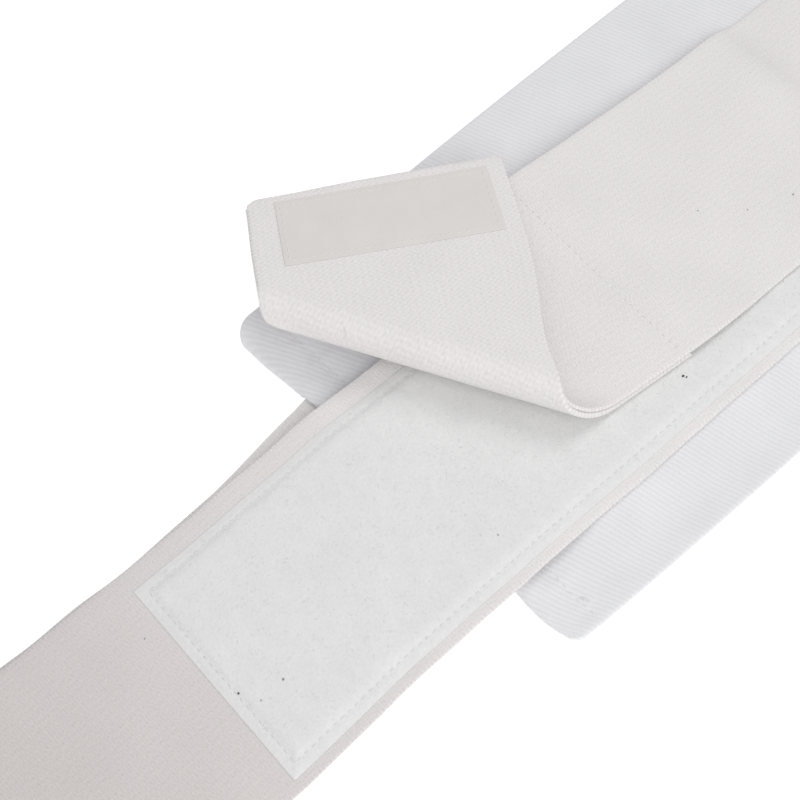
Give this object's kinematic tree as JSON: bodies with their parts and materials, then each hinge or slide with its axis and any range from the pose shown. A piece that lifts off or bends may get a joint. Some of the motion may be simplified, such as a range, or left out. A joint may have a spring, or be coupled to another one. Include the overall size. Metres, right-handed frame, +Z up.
{
  "type": "peritoneal dialysis catheter belt",
  "caption": "Wide elastic waist belt with a cotton twill catheter pocket, closed by hook and loop and lying flat on its pouch, its hook end folded back.",
  "frame": {"origin": "centre of the pouch's flat underside, on the surface that the belt lies on", "axes": "+X along the belt towards the hook strap's end of the pouch, +Y across it towards the pocket's mouth, +Z up"},
  "size_m": [0.4716, 0.1628, 0.0318],
  "materials": {
    "twill": "white cotton twill with fine diagonal lines",
    "elastic": "warm white woven elastic with fine ribs",
    "loop_pile": "light grey brushed loop pile",
    "hook_tape": "smooth beige-grey hook tape"
  },
  "bodies": {
    "root": {"pouch_front": "twill", "pouch_back": "twill", "loop_strap": "elastic", "loop_panel": "loop_pile", "hook_strap": "elastic", "hook_end_facing": "elastic", "hook_strip": "hook_tape"}
  },
  "joints": []
}
